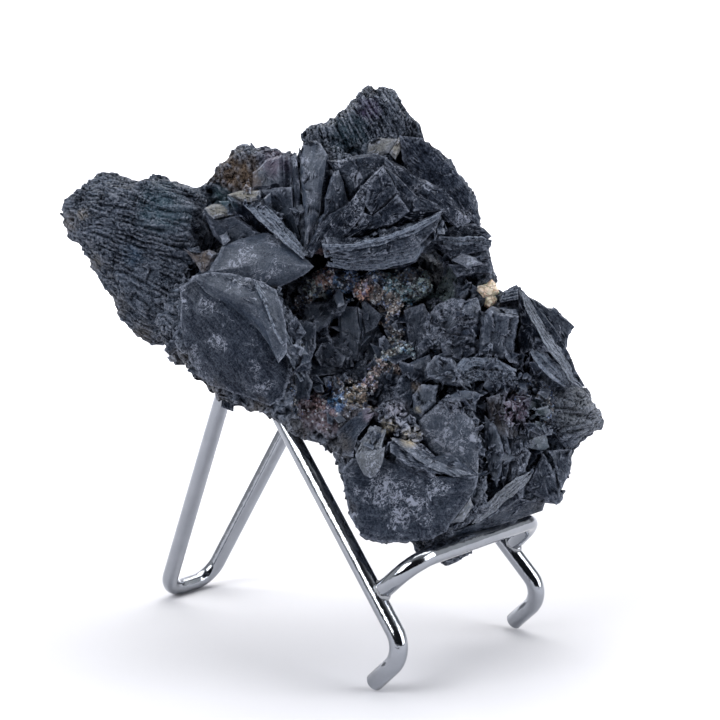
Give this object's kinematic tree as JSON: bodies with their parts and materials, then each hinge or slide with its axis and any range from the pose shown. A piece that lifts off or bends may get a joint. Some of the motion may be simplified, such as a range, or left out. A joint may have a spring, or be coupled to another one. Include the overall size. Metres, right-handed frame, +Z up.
{
  "type": "mineral specimen on a wire easel",
  "caption": "Dark bladed berthierite crystal cluster with a druse-lined hollow, resting tilted on a small chromed wire easel.",
  "frame": {"origin": "middle of the whole object's footprint box, on the surface it stands on", "axes": "+Z up, X across the easel, the easel's front and the ledge towards -Y"},
  "size_m": [0.0752, 0.0866, 0.1031],
  "materials": {
    "berthierite": "dark steel-grey crystal, satin faces, dusty and worn pale at the edges",
    "tarnished_druse": "tiny crystals with a blue, purple and bronze tarnish",
    "cream_crystal": "opaque cream, slightly waxy",
    "chromed_wire": "bright chrome on round wire"
  },
  "bodies": {
    "root": {"specimen": "berthierite", "druse_crust": "tarnished_druse", "pale_crystal": "cream_crystal", "stand_frame": "chromed_wire", "stand_ledge": "chromed_wire"}
  },
  "joints": []
}
